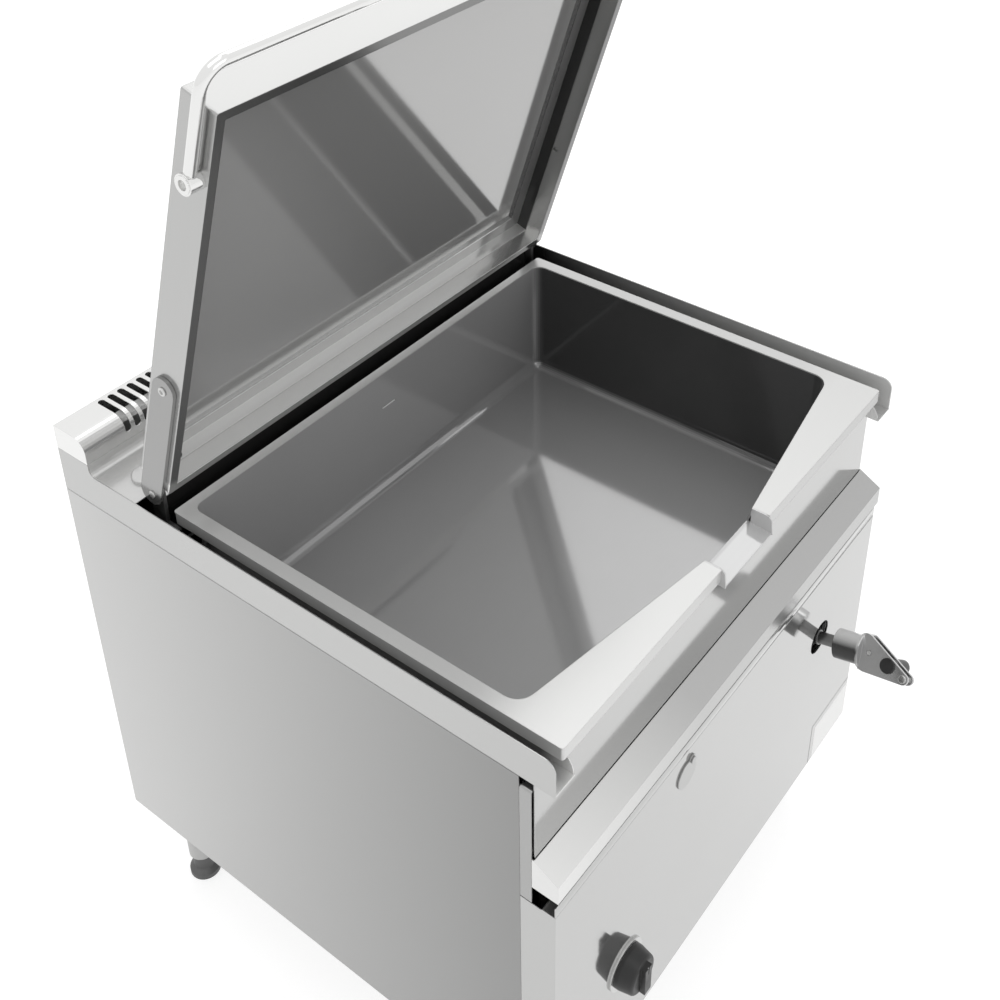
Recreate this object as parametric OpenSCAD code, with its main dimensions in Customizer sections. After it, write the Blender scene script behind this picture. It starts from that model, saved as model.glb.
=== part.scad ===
// Tilting bratt pan on a closed stainless steel cabinet, with the lid open.
// Millimetres, +Z up, the user stands on the -Y side.
// The origin is on the floor, under the middle of the whole machine's bounding box.

/* [Cabinet] */
// Width over the side panels
body_w = 800; // [780:5:1000]
// Depth from the front of the hood to the rear panel
body_d = 800; // [790:5:900]
// Height of the worktop rails above the floor
work_h = 850; // [820:5:900]
// Height of the cabinet's underside above the floor
foot_h = 180; // [140:5:200]
// Thickness of the cabinet's sheet steel
sheet = 1.5; // [1:0.1:2]
// Visible seam between two fixed sheets
seam = 0.3; // [0.2:0.05:0.6]

/* [Worktop surround] */
// Height of the band along each side
rail_h = 50; // [40:1:60]
// Width of each side gutter
gutter_w = 34; // [32:1:40]
// Height of the gutter's inner cheek above its floor
cheek_h = 27; // [20:1:28]
// How far the rails stop behind the hood's front face
rail_setback = 5; // [2:1:15]
// Rounding of the rails' front top corners
rail_corner = 15; // [8:1:20]
// Depth of the riser and flue at the rear
flue_d = 60; // [50:1:80]
// Height of the flue riser above the deck
riser_h = 17; // [12:1:30]
// Height of the flue cover above its riser
flue_h = 36; // [28:1:50]
// Rounding along the flue cover's front edge
flue_round = 20; // [10:1:25]
// Width of one flue slot
slot_w = 9.4; // [6:0.2:11]
// Distance from one flue slot to the next
slot_pitch = 15.44; // [12:0.1:20]
// Number of flue slots
slot_count = 44; // [10:1:44]

/* [Front] */
// How far the front panel stands behind the hood's front face
panel_setback = 3.6; // [1:0.2:8]
// Distance from the hood's front face back to the apron
apron_setback = 33.5; // [30:0.5:40]
// Drop from the rail top to the hood's rear edge
hood_drop = 173; // [165:1:185]
// Height of the hood's slope
hood_fall = 18.6; // [12:0.2:28]
// Height of the hood's front face
hood_face = 27.7; // [20:0.1:40]
// Shadow gap between the hood and the front panel
hood_gap = 27.7; // [15:0.1:35]
// Width of the trim strip beside the apron
trim_w = 15.7; // [12:0.1:20]
// Width of the lower corner plate
corner_w = 112; // [80:1:140]
// Height of the lower corner plate
corner_h = 70; // [50:1:90]

/* [Pan] */
// Distance from the cabinet's side to the pan's inside
pan_inset = 43; // [42:1:55]
// Distance from the cabinet's rear to the pan's inside
pan_back = 204; // [200:1:230]
// Inside depth of the pan
pan_depth = 193; // [150:1:210]
// Thickness of the pan's wall
pan_wall = 2; // [1.5:0.1:3]
// Inside radius of the pan's corners and floor edges
pan_r = 16; // [10:1:24]
// Thickness of the pan's heavy base plate
base_t = 10; // [6:1:14]
// Width of the flange along the sides
rim_side = 19; // [16:0.5:20]
// Width of the flange along the rear
rim_rear = 13; // [10:0.5:20]
// How far the flange's front edge overhangs the apron
rim_front = 20.5; // [16:0.5:24]
// Height of the flange's turned down lip
lip_h = 18; // [10:0.5:20]
// How far the rim lies below the rails
rim_drop = 6; // [2:0.5:10]
// Distance from the apron's face to the floor's front edge
pan_front = 54.5; // [50:0.5:60]
// Half width of the pouring spout
spout_half = 56; // [40:1:80]
// Depth of the spout's floor below the rim
spout_drop = 22; // [15:1:24]
// How far the spout reaches in front of the apron
spout_reach = 26; // [22:0.5:30]

/* [Tilting] */
// Depth of the tilt axle below the rails
axle_drop = 160; // [150:1:164]
// Distance from the apron's face back to the tilt axle
axle_back = 16.5; // [16:0.5:18]
// Radius of the tilt axle
axle_r = 9; // [7:0.5:9]
// Distance from the cabinet's right side to the spindle
spindle_inset = 146.5; // [120:0.5:200]
// Depth of the spindle's pivot below the rails
spindle_drop = 378; // [350:1:410]
// Rise of the spindle towards the user, in degrees
spindle_rise = 13; // [10:0.5:15]
// Radius of the spindle
spindle_r = 9; // [7:0.5:10]
// Length of the spindle behind its pivot
spindle_l = 392; // [388:1:400]
// Distance from the spindle's pivot to the nut
nut_s = 60; // [55:1:62]
// Travel of the nut in the levers' slots
slot_travel = 71; // [71:1:76]
// Radius of the crank's collar
collar_r = 21.5; // [18:0.5:23]
// Length of the crank's collar
collar_l = 40; // [25:1:45]
// Reach of the crank's fork beyond its collar
fork_l = 67; // [60:1:72]
// Turn of the crank about its spindle, in degrees
crank_turn = 40; // [0:5:90]
// Radius of the crank's sliding bar
bar_r = 10.5; // [8:0.5:11]
// Length of the crank's sliding bar
bar_l = 60; // [50:5:100]

/* [Lid] */
// Angle from closed to the open stop, in degrees
lid_open = 72; // [60:1:80]
// Depth of the lid's walls
lid_h = 51.5; // [40:0.5:60]
// How far the lid's walls stand outside the flange
lid_over = 4; // [3:0.5:5]
// Distance from the lid's rear wall back to its pivot
pivot_back = 16; // [14:0.5:20]
// Height of the pivot above the lid's lower edge when closed
pivot_up = 21.5; // [18:0.5:26]
// Distance from the pivot to the bolt of a hinge arm
arm_pitch = 190; // [150:1:220]
// Width of a hinge arm
arm_w = 36; // [28:1:40]
// Distance from the pivot to the handle's bosses
boss_dist = 531; // [480:1:540]
// Radius of the handle tube
tube_r = 7; // [5:0.5:7.5]

/* [Hidden] */

$fn = 48;
run_fit = 0.08;     // radial clearance of a pin or shaft that turns
fixed_fit = 0.02;   // radial clearance of a pin or shaft that is fixed
steel = "silver";
bright = "gainsboro";
dark_steel = "dimgray";

// Planes of the cabinet, with y = 0 at the middle of its depth
x_side = body_w / 2;
x_in = x_side - sheet;
y_rear = body_d / 2;
y_hood = -body_d / 2;
y_panel = y_hood + panel_setback;
y_apron = y_hood + apron_setback;
y_rail = y_hood + rail_setback;
y_post = y_apron + 18.5;
z_band = work_h - rail_h;
z_hood = work_h - hood_drop;
z_crease = z_hood - hood_fall;
z_face = z_crease - hood_face;
z_panel = z_face - hood_gap;

// Worktop surround
x_cheek = x_side - gutter_w;
z_gutter = z_band + 2;
y_riser = y_rear - flue_d;
z_flue = work_h + riser_h;
z_top = z_flue + flue_h;
deck_fillet = 10;
notch_x = x_side - 28;

// Pan
z_rim = work_h - rim_drop;
z_floor = z_rim - pan_depth;
x_pan = x_side - pan_inset;
x_flange = x_pan + rim_side;
y_floor = y_apron + pan_front;
y_pan = y_rear - pan_back;
y_flange = y_pan + rim_rear;
y_lip = y_apron - rim_front;
y_spout = y_apron - spout_reach;
y_mouth = y_apron + sheet + pan_wall + 0.2;
z_notch = z_rim - spout_drop - pan_wall - 5;
gutter_end = y_pan - 36;
y_deck = y_flange + 22;

// Tilting gear
axle_y = y_apron + axle_back;
axle_z = work_h - axle_drop;
spindle_x = x_side - spindle_inset;
spindle_z = work_h - spindle_drop;
pivot_y = y_panel + 15.4;
bracket_x = x_pan + pan_wall;
ear_x = 16;
trunnion_r = 7;
spin_dir = [cos(spindle_rise), -sin(spindle_rise)];
nut_y = pivot_y + nut_s * spin_dir[0];
nut_z = spindle_z + nut_s * spin_dir[1];
hub_z = 46;
tip_r = 8;
cheek_x = 12;
fork_tip = [-21, hub_z + collar_l + fork_l];
bar_at = [-9.3, hub_z + collar_l + fork_l * 0.64];
hole_r = 26.5;
hole_z = spindle_z + 15.4 * tan(spindle_rise);

// Lid, drawn closed and then turned open about its pivot
x_lid = x_flange + lid_over;
z_lid = z_rim + 0.5;
y_lid = y_flange + 6.5;
lid_front = y_lip + 7;
lid_py = y_lid + pivot_back;
lid_pz = z_lid + pivot_up;
arm_t = 5;
arm_x = x_lid + 0.3;
arm_up = 3.5;
bolt_y = lid_py - arm_pitch;
bolt_z = lid_pz + arm_up;
bracket_t = 5.6;
hinge_x = arm_x - 0.5 - bracket_t;
pin_r = 4;
skin = 1.2;
handle_up = 16.5;
drain_x = -x_lid + 46.4;
drain_z = z_lid + 38;
drain_r = 4.3;
handle_y = lid_py - boss_dist + 6;

// Small fittings on the front
cover_x = -x_side + 274;
cover_z = work_h - 288;
cover_r = 20.5;
knob_x = -x_side + 150;
knob_z = foot_h + 150;
burner_x = x_side - 200;
burner_y0 = y_floor + 68;
burner_y1 = y_pan - 11;
burner_z = z_floor - 76;
gas_y = y_panel + 36.4;
gas_z = knob_z - 100;
gas_out = 20;
gas_r = 10.5;
pipe_r = 9;
valve_r = 22;

// Middle of the machine's bounding box in y, from the crank's tip to the gas inlet
pin_lean = sin(crank_turn) * sin(spindle_rise);
crank_reach = fork_tip[1] * cos(spindle_rise) - fork_tip[0] * cos(crank_turn) * sin(spindle_rise)
    + tip_r * sqrt(1 - pin_lean * pin_lean) + cheek_x * pin_lean;
y_mid = -((pivot_y - crank_reach) + (y_rear + gas_out)) / 2;

// Points of an arc in the plane, from angle a0 to a1
function arc(c, r, a0, a1, n = 8) =
    [for (i = [0:n]) let (a = a0 + (a1 - a0) * i / n) c + r * [cos(a), sin(a)]];

module at_mid() { translate([0, y_mid, 0]) children(); }
module on_side(s) { if (s > 0) children(); else mirror([1, 0, 0]) children(); }
module both_sides() { children(); mirror([1, 0, 0]) children(); }
module box(p, q) { translate(p) cube(q - p); }
// Slabs of a flat outline: [y, z] along X, [x, z] along Y and [x, y] along Z
module x_slab(x0, x1) { translate([x0, 0, 0]) rotate([90, 0, 90]) linear_extrude(x1 - x0) children(); }
module y_slab(y0, y1) { translate([0, y1, 0]) rotate([90, 0, 0]) linear_extrude(y1 - y0) children(); }
module z_slab(z0, z1) { translate([0, 0, z0]) linear_extrude(z1 - z0) children(); }
module x_rod(x0, x1, r, y, z) { translate([x0, y, z]) rotate([0, 90, 0]) cylinder(r = r, h = x1 - x0); }
module y_rod(y0, y1, r, x, z) { translate([x, y0, z]) rotate([-90, 0, 0]) cylinder(r = r, h = y1 - y0); }
module z_rod(z0, z1, r, x, y) { translate([x, y, z0]) cylinder(r = r, h = z1 - z0); }

// Rounded rectangle between two corners
module round_rect(p, q, r) {
    translate([p[0] + r, p[1]]) square([q[0] - p[0] - 2 * r, q[1] - p[1]]);
    translate([p[0], p[1] + r]) square([q[0] - p[0], q[1] - p[1] - 2 * r]);
    for (x = [p[0] + r, q[0] - r])
        for (y = [p[1] + r, q[1] - r])
            translate([x, y]) circle(r);
}

// Frame of the spindle: +Z runs out towards the user, +Y is up and square to it
module at_spindle() {
    translate([spindle_x, pivot_y, spindle_z]) rotate([90 - spindle_rise, 0, 0]) children();
}

// Frame of the crank's fork: its cheeks stand square to X, its slot lies between them
module at_crank() { at_spindle() rotate([0, 0, -crank_turn]) children(); }

// The lid is drawn closed and turned back to its open stop
module lid_turn() {
    translate([0, lid_py, lid_pz]) rotate([-lid_open, 0, 0]) translate([0, -lid_py, -lid_pz]) children();
}

// Cabinet shell

module base_tray() {
    color(steel) at_mid() difference() {
        box([-x_in + seam, y_post, foot_h], [x_in - seam, y_rear - sheet - seam, foot_h + 30]);
        box([-x_in + seam + sheet, y_post + sheet, foot_h + sheet],
            [x_in - seam - sheet, y_rear - 2 * sheet - seam, foot_h + 31]);
    }
}

// Side panel with a bottom flange and a front flange up to the hood
module side_panel(s) {
    color(steel) at_mid() on_side(s) {
        box([x_in, y_post, foot_h], [x_side, y_rear, z_band - 1]);
        box([x_in - 18, y_post + 2, foot_h - sheet], [x_side, y_rear, foot_h]);
        box([x_in - 14, y_post, foot_h + 31], [x_in, y_post + sheet, z_panel]);
    }
}
module side_panel_left() { side_panel(-1); }
module side_panel_right() { side_panel(1); }

module rear_panel() {
    color(steel) at_mid() difference() {
        box([-x_in + seam, y_rear - sheet, foot_h], [x_in - seam, y_rear, z_band - 1]);
        for (side = [-1, 1])
            for (i = [0:6])
                y_slab(y_rear - sheet - 1, y_rear + 1)
                    translate([side * x_side / 2, z_panel - 123 + i * 22])
                        round_rect([-60, -4], [60, 4], 3.9);
        y_rod(y_rear - sheet - 1, y_rear + 1, gas_r + 2, knob_x, gas_z);
    }
}

module front_panel() {
    color(steel) at_mid() {
        difference() {
            box([-x_side, y_panel, foot_h], [x_side, y_panel + sheet, z_panel]);
            y_rod(y_panel - 1, y_panel + sheet + 1, hole_r, spindle_x, hole_z);
            y_rod(y_panel - 1, y_panel + sheet + 1, 11, cover_x, cover_z);
            y_rod(y_panel - 1, y_panel + sheet + 1, 7, knob_x, knob_z);
            y_rod(y_panel - 1, y_panel + sheet + 1, 3, cover_x + 11, cover_z + 17);
            box([x_side - corner_w - seam, y_panel - 1, foot_h - 1],
                [x_side + 1, y_panel + sheet + 1, foot_h + corner_h + seam]);
        }
        box([-x_side, y_panel + sheet, z_panel - sheet], [x_side, y_panel + 19, z_panel]);
        box([-x_in, y_panel + sheet, foot_h], [x_side - corner_w - 14, y_panel + 19, foot_h + sheet]);
        box([-x_side, y_panel + sheet, foot_h], [-x_in, y_post - seam, z_panel - sheet]);
        box([x_in, y_panel + sheet, foot_h + corner_h + seam], [x_side, y_post - seam, z_panel - sheet]);
    }
}

// Cover of the lower right corner, with a lip behind the front panel
module corner_plate() {
    color(bright) at_mid() {
        box([x_side - corner_w, y_panel, foot_h], [x_side, y_panel + sheet, foot_h + corner_h]);
        box([x_in, y_panel + sheet, foot_h], [x_side, y_post - seam, foot_h + corner_h]);
        box([x_side - corner_w - 12, y_panel + sheet, foot_h + 4],
            [x_in, y_panel + 2 * sheet, foot_h + corner_h + 12]);
    }
}

// Folded hood with its return flange behind and closed ends
module hood() {
    rear = y_apron - 0.3;
    slope = (z_hood - z_crease) / (rear - y_hood);
    inner = sheet * sqrt(1 + slope * slope);
    cap = y_post - 2 * seam - trim_w;
    color(steel) at_mid() {
        x_slab(-x_side, x_side) polygon([
            [rear, z_face], [rear, z_hood], [y_hood, z_crease], [y_hood, z_face],
            [y_hood + 18, z_face], [y_hood + 18, z_face + sheet], [y_hood + sheet, z_face + sheet],
            [y_hood + sheet, z_crease + sheet * slope - inner], [rear - sheet, z_hood - sheet * slope - inner],
            [rear - sheet, z_face]
        ]);
        both_sides()
            x_slab(x_in, x_side)
                polygon([[cap, z_face], [cap, z_hood], [rear, z_hood], [y_hood, z_crease], [y_hood, z_face]]);
    }
}

// Strip beside the apron, its top end turned inwards on a round bend
module trim(s) {
    bend = 4;
    z1 = z_band - rail_h * 0.3;
    color(bright) at_mid() on_side(s) {
        box([x_in, y_post - seam - trim_w, z_panel + seam], [x_side, y_post - seam, z1 - bend]);
        y_slab(y_post - seam - trim_w, y_post - seam)
            polygon(concat(
                arc([x_side - bend, z1 - bend], bend, 0, 90),
                [[x_side - 14, z1], [x_side - 14, z1 - sheet]],
                arc([x_side - bend, z1 - bend], bend - sheet, 90, 0)));
    }
}
module trim_left() { trim(-1); }
module trim_right() { trim(1); }

// Worktop

module rail_outline() {
    polygon(concat(
        [[y_rail, z_band]],
        arc([y_rail + rail_corner, work_h - rail_corner], rail_corner, 180, 90),
        arc([y_riser - deck_fillet, work_h + deck_fillet], deck_fillet, 270, 360),
        [[y_riser, z_flue], [y_rear, z_flue], [y_rear, z_band]]));
}

module deck_outline() {
    polygon(concat(
        [[y_deck, z_band], [y_deck, work_h]],
        arc([y_riser - deck_fillet, work_h + deck_fillet], deck_fillet, 270, 360),
        [[y_riser, z_flue], [y_riser + sheet, z_flue]],
        arc([y_riser - deck_fillet, work_h + deck_fillet], deck_fillet + sheet, 360, 270),
        [[y_deck + sheet, work_h - sheet], [y_deck + sheet, z_band]]));
}

module cheek_outline() {
    polygon(concat(
        [[gutter_end, z_gutter - sheet], [gutter_end, z_gutter + cheek_h]],
        arc([y_apron, z_gutter], cheek_h, 90, 180),
        [[y_apron - cheek_h, z_gutter - sheet]]));
}

// Plate along the side, its outline running up to the flue
module rail(s) {
    color(steel) at_mid() on_side(s) x_slab(x_in, x_side) rail_outline();
}
module rail_left() { rail(-1); }
module rail_right() { rail(1); }

// Channel that catches spills between the rail and the pan, closed at its rear end
module gutter(s) {
    color(steel) at_mid() on_side(s) {
        x_slab(x_cheek - sheet, x_cheek) cheek_outline();
        box([x_cheek - sheet, y_rail, z_gutter - sheet], [x_in, gutter_end, z_gutter]);
        box([x_cheek, gutter_end - sheet, z_gutter], [x_in, gutter_end, z_gutter + 12]);
    }
}
module gutter_left() { gutter(-1); }
module gutter_right() { gutter(1); }

// Deck and riser behind the pan, folded from one sheet, with a notch for each lid bracket
module deck() {
    color(steel) at_mid() {
        difference() {
            x_slab(-x_in, x_in) deck_outline();
            both_sides()
                box([notch_x, y_deck - 1, z_band - 1], [x_in, lid_py + 20, work_h + 1]);
        }
        box([-x_in, y_rear - sheet, z_band - 1 + seam], [x_in, y_rear, z_flue]);
    }
}

module flue_outline(t) {
    polygon(concat(
        [[y_riser + t, z_flue - 1]],
        arc([y_riser + flue_round, z_top - flue_round], flue_round - t, 180, 90),
        [[y_rear - t, z_top - t], [y_rear - t, z_flue - 1]]));
}

// Flue cover with a row of slots over its rounded edge
module flue_cover() {
    color(steel) at_mid() difference() {
        x_slab(-x_side, x_side) flue_outline(0);
        x_slab(-x_in, x_in) flue_outline(sheet);
        box([-x_side - 1, y_riser - 1, z_flue - 2], [x_side + 1, y_rear + 1, z_flue + seam]);
        for (i = [0:slot_count - 1]) {
            x = (i - (slot_count - 1) / 2) * slot_pitch;
            z_slab(z_flue + 18, z_top + 1)
                round_rect([x - slot_w / 2, y_riser - 6], [x + slot_w / 2, y_rear - 5], slot_w / 2 - 0.01);
            y_slab(y_riser - 1, y_riser + 6)
                round_rect([x - slot_w / 2, z_flue + 12], [x + slot_w / 2, z_flue + 24], slot_w / 2 - 0.01);
        }
    }
}

// Bent strip inside the flue that keeps spills out of the duct
module flue_baffle() {
    y0 = y_riser + 14;
    z1 = z_top - 14;
    color(steel) at_mid() x_slab(-x_in + seam, x_in - seam) polygon([
        [y0, work_h + 2], [y0, z1 - 4], [y0 + 4, z1], [y0 + 20, z1], [y0 + 20, z1 - sheet],
        [y0 + 4.6, z1 - sheet], [y0 + sheet, z1 - 4.6], [y0 + sheet, work_h + 2]
    ]);
}

// Duct that takes the burner gases up to the flue
module flue_duct() {
    x = x_side - 70;
    y0 = y_deck + 16;
    z0 = burner_z - 20;
    color(dark_steel) at_mid() difference() {
        box([-x, y0, z0], [x, y_rear - sheet - seam, work_h - sheet - seam]);
        box([-x + sheet, y0 + sheet, z0 - 1], [x - sheet, y_rear - 2 * sheet - seam, work_h]);
        box([-x + 30, y0 - 1, z0 - 1], [x - 30, y0 + sheet + 1, z0 + 80]);
    }
}

module deck_cap() {
    r = 18;
    color(bright) at_mid() translate([-x_side + 43, y_deck + 52, work_h])
        rotate_extrude() polygon(concat([[0, 0], [r, 0], [r, 3]], arc([r - 2.5, 3], 2.5, 0, 90, 4), [[0, 6]]));
}

// Burners and gas

module burner_frame() {
    z1 = burner_z - 18;
    x0 = -burner_x - 25;
    x1 = burner_x + 22;
    color(dark_steel) at_mid()
        for (y = [burner_y0 + 14, burner_y1 - 15]) {
            box([x0, y - 12, z1 - 5], [x1, y + 12, z1]);
            for (x = [x0, x1 - 5])
                box([x, y - 12, foot_h + sheet], [x + 5, y + 12, z1 - 5]);
        }
}

module burner_tubes() {
    color(dark_steel) at_mid()
        for (i = [-2:2])
            difference() {
                y_rod(burner_y0, burner_y1, 18, i * burner_x / 2, burner_z);
                for (y = [burner_y0 + 54:20:burner_y1 - 15])
                    z_rod(burner_z + 10, burner_z + 20, 2.5, i * burner_x / 2, y);
            }
}

// Manifold, riser from the valve and supply pipe to the rear
module gas_pipes() {
    r = pipe_r;
    color("khaki") at_mid() {
        x_rod(knob_x - r, burner_x + 22, r, burner_y0 - r, burner_z);
        y_rod(gas_y, burner_y0, r, knob_x, burner_z);
        z_rod(knob_z + valve_r, burner_z + r, r, knob_x, gas_y);
        z_rod(gas_z - r, knob_z - valve_r, r, knob_x, gas_y);
        y_rod(gas_y, y_rear - 10, r, knob_x, gas_z);
        y_rod(y_rear - 10, y_rear + gas_out, gas_r, knob_x, gas_z);
    }
}

module gas_valve() {
    color("darkgoldenrod") at_mid() {
        y_rod(gas_y - 28, gas_y + 28, valve_r, knob_x, knob_z);
        y_rod(y_panel + sheet, gas_y - 28, 12, knob_x, knob_z);
        y_rod(y_panel - 26, y_panel + sheet, 5, knob_x, knob_z);
    }
}

module knob_bezel() {
    color(bright) at_mid() difference() {
        y_rod(y_panel - 3, y_panel, 36, knob_x, knob_z);
        y_rod(y_panel - 4, y_panel + 1, 8, knob_x, knob_z);
    }
}

module gas_knob() {
    color("black") at_mid() translate([knob_x, y_panel - 3.3, knob_z]) rotate([90, 0, 0]) difference() {
        union() {
            rotate_extrude() polygon(concat([[0, 0], [30, 0], [30, 5]], arc([22, 20], 5, 0, 90, 4), [[0, 25]]));
            translate([-7, -24, 5]) cube([14, 48, 27]);
        }
        translate([0, 0, -1]) cylinder(r = 5 + run_fit, h = 25);
        translate([-1, 12, 31]) cube([2, 13, 2]);
    }
}

// Bearings, feet and front fittings

// Bearing of the tilt axle, carried by the side panel
module bearing(s) {
    color(dark_steel) at_mid() on_side(s) difference() {
        union() {
            x_rod(x_cheek + 2, x_in, 14, axle_y, axle_z);
            x_slab(x_in - 10, x_in)
                polygon([[axle_y, axle_z + 14], [axle_y + 60, axle_z + 14], [axle_y + 60, axle_z - 50],
                    [axle_y + 13, axle_z - 13]]);
        }
        x_rod(x_cheek, x_in - 4, axle_r + run_fit, axle_y, axle_z);
    }
}
module bearing_left() { bearing(-1); }
module bearing_right() { bearing(1); }

module spindle_bracket() {
    color(dark_steel) at_mid() difference() {
        union() {
            box([spindle_x - 40, y_panel + sheet, spindle_z - 45],
                [spindle_x + 40, y_panel + sheet + 1.5, spindle_z + 45]);
            for (s = [-1, 1])
                x_slab(spindle_x + s * 20 - 4, spindle_x + s * 20 + 4) {
                    translate([y_panel + sheet, spindle_z - 12]) square([pivot_y - y_panel - sheet, 24]);
                    translate([pivot_y, spindle_z]) circle(12);
                }
        }
        y_rod(y_panel, y_panel + 4, hole_r, spindle_x, hole_z);
        x_rod(spindle_x - 30, spindle_x + 30, 6 + run_fit, pivot_y, spindle_z);
    }
}

module foot_places() {
    for (x = [-x_side + 60, x_side - 60])
        for (y = [y_hood + 85, y_rear - 60])
            translate([x, y, 0]) children();
}

module foot_sleeves() {
    color(steel) at_mid() foot_places() {
        difference() {
            translate([0, 0, 45]) cylinder(r = 21, h = foot_h - 48);
            translate([0, 0, 44]) cylinder(r = 17 + run_fit, h = foot_h - 60);
        }
        translate([-40, -25, foot_h - 3]) cube([80, 50, 3]);
    }
}

module foot_pads() {
    color(dark_steel) at_mid() foot_places() {
        cylinder(r = 24, h = 8);
        translate([0, 0, 8]) cylinder(r1 = 24, r2 = 17, h = 8);
        translate([0, 0, 16]) cylinder(r = 17, h = foot_h - 60);
    }
}

module cover_screw() {
    color(bright) at_mid() {
        y_rod(y_panel - 4, y_panel + sheet + 4, 3, cover_x + 11, cover_z + 17);
        y_rod(y_panel - 4.5, y_panel - 2.6, 5, cover_x + 11, cover_z + 17);
    }
}

module peephole_cover() {
    color(bright) at_mid() difference() {
        union() {
            y_rod(y_panel - 2.3, y_panel - 0.3, cover_r, cover_x, cover_z);
            y_rod(y_panel - 2.3, y_panel - 0.3, 7, cover_x + 11, cover_z + 17);
        }
        y_rod(y_panel - 3, y_panel, 3 + run_fit, cover_x + 11, cover_z + 17);
    }
}

// Pan

// Outline of the pan's mouth: a rectangle with a V in front that runs to the spout
module mouth(grow) {
    polygon(concat(
        arc([x_pan - pan_r, y_pan - pan_r], pan_r + grow, 0, 90),
        arc([-x_pan + pan_r, y_pan - pan_r], pan_r + grow, 90, 180),
        arc([-x_pan + 24, y_floor + 16], 24 + grow, 180, 260),
        [[-spout_half, y_mouth - grow], [spout_half, y_mouth - grow]],
        arc([x_pan - 24, y_floor + 16], 24 + grow, 280, 360)));
}

// Hollow of the pan grown by a wall: filleted floor, upright walls and a sloping front up to the V
module trough(grow, top) {
    x = x_pan - pan_r;
    hull() {
        z_slab(z_rim - 3, top) mouth(grow);
        for (sx = [-x, x])
            for (y = [y_floor + pan_r, y_pan - pan_r])
                translate([sx, y, z_floor + pan_r]) sphere(pan_r + grow, $fn = 32);
    }
}

// Side wall of the spout with its quarter round front
module spout_cheek() {
    polygon(concat(
        [[y_mouth, z_rim - spout_drop - pan_wall], [y_mouth, z_rim]],
        arc([y_lip + 6, z_rim - 12], 12, 90, 150, 5),
        [[y_spout - 1, z_rim - spout_drop - 2], [y_spout - 1, z_rim - spout_drop - 5]]));
}

// Deep pan with its V front, spout and level mark
module pan_shell() {
    w = pan_wall;
    color("lightgray") at_mid() difference() {
        union() {
            difference() {
                trough(w, z_rim - w);
                box([-spout_half, y_mouth - 20, z_rim - spout_drop], [spout_half, y_mouth + 14, z_rim + 1]);
            }
            both_sides() x_slab(spout_half, spout_half + w) spout_cheek();
            x_slab(-spout_half - w, spout_half + w) polygon([
                [y_mouth + 4, z_rim - spout_drop], [y_mouth + 4, z_rim - spout_drop - w],
                [y_spout, z_rim - spout_drop - w - 3], [y_spout, z_rim - spout_drop - 3]]);
        }
        trough(0, z_rim + 1);
        y_slab(y_pan - 1, y_pan + 0.6) translate([-13, z_rim - 60]) square([26, 2]);
    }
}

// Flange welded on the pan's edge, with a lip turned down on all sides
module pan_rim() {
    w = pan_wall;
    z0 = z_rim - lip_h;
    z1 = z_rim - w;
    color("lightgray") at_mid() {
        difference() {
            z_slab(z1, z_rim) round_rect([-x_flange, y_lip], [x_flange, y_flange], 4);
            z_slab(z1 - 1, z_rim + 1) mouth(0);
            box([-spout_half, y_lip - 1, z1 - 1], [spout_half, y_mouth + 1, z_rim + 1]);
            box([-spout_half - w, y_lip - 1, z1 - 1], [spout_half + w, y_mouth, z_rim + 1]);
        }
        both_sides() {
            box([x_flange - w, y_lip + 4, z0], [x_flange, y_flange - 4, z1]);
            box([spout_half + w, y_lip, z0], [x_flange - 4, y_lip + w, z1]);
            z_slab(z0, z1) intersection() {
                translate([x_flange - 4, y_lip + 4]) difference() { circle(4); circle(4 - w); }
                translate([x_flange - 4, y_lip]) square(4);
            }
        }
        box([-x_flange + 4, y_flange - w, z0], [x_flange - 4, y_flange, z1]);
    }
}

module base_plate() {
    color(dark_steel) at_mid() z_slab(z_floor - pan_wall - base_t, z_floor - pan_wall)
        round_rect([-x_pan + 20, y_floor + 20], [x_pan - 20, y_pan - 20], 12);
}

module tilt_axle() {
    color(bright) at_mid() x_rod(-x_in + 5, x_in - 5, axle_r, axle_y, axle_z);
}

// Plate that joins the pan's side, the apron and the axle
module tilt_bracket(s) {
    back = y_apron + sheet;
    color(steel) at_mid() on_side(s) difference() {
        x_slab(bracket_x, bracket_x + 4.5)
            polygon([[back, axle_z - 12], [back, z_band - 10], [y_floor + 120, z_band - 10],
                [y_floor + 120, z_floor + 60], [axle_y + 40, axle_z - 22], [axle_y, axle_z - 22]]);
        x_rod(bracket_x - 1, bracket_x + 6, axle_r + fixed_fit, axle_y, axle_z);
    }
}
module tilt_bracket_left() { tilt_bracket(-1); }
module tilt_bracket_right() { tilt_bracket(1); }

// Front apron, which swings out with the pan
module apron() {
    color(steel) at_mid()
        box([-x_in + 1.5, y_apron, z_hood + 1.5], [x_in - 1.5, y_apron + sheet, z_gutter - sheet - 1]);
}

// Strip welded between the apron and the pan's flange, with a notch for the spout
module apron_top() {
    x = x_cheek - sheet - 1.5;
    notch = spout_half + pan_wall + 2;
    color(steel) at_mid() difference() {
        box([-x, y_apron, z_gutter - sheet - 1], [x, y_apron + sheet, z_rim - pan_wall]);
        box([-notch, y_apron - 1, z_notch], [notch, y_apron + sheet + 1, z_rim]);
    }
}

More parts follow.
